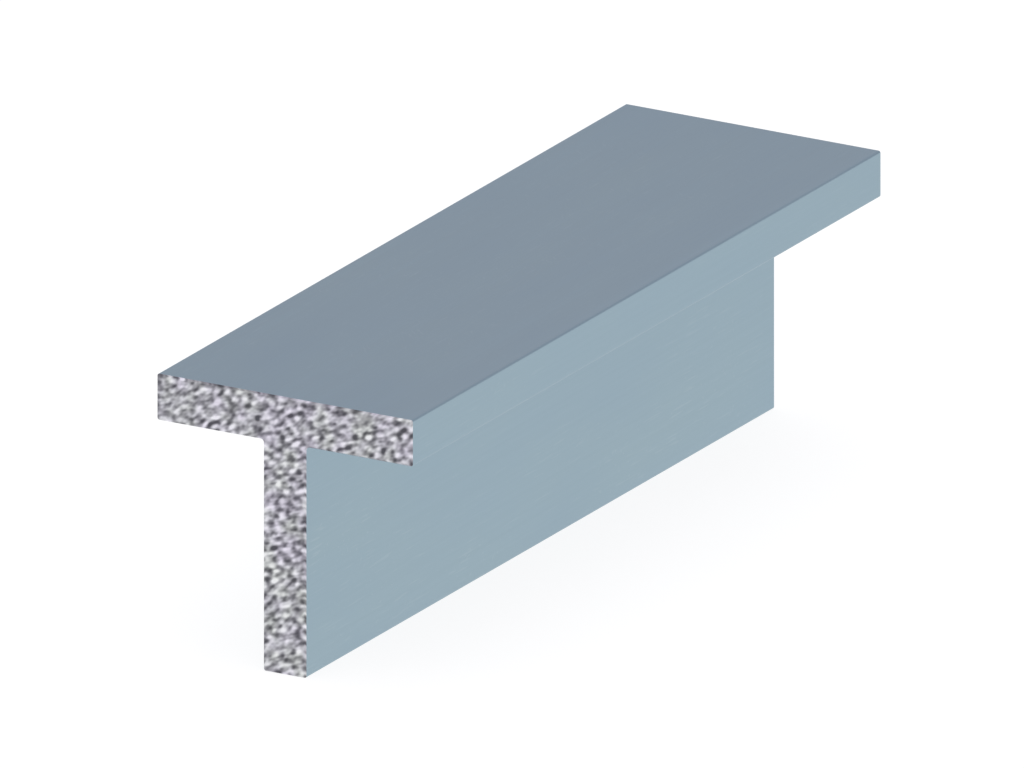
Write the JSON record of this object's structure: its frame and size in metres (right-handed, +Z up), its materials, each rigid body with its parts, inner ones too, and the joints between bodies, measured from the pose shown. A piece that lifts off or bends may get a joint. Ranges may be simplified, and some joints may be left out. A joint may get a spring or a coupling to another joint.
{
  "type": "aluminium tee section",
  "caption": "Short straight length of extruded aluminium tee bar: a flat flange on top, a web of the same thickness under its middle, square corners and square saw-cut ends.",
  "frame": {"origin": "middle of the web's foot, half-way along the bar, on the floor that the bar stands on", "axes": "+X across the flange, +Y along the bar, +Z up from the web's foot to the flange's flat top"},
  "size_m": [0.0382, 0.1234, 0.0381],
  "materials": {
    "mill_aluminium": "mill finish as extruded, sawn ends"
  },
  "bodies": {
    "root": {"tee_section": "mill_aluminium"}
  },
  "joints": []
}
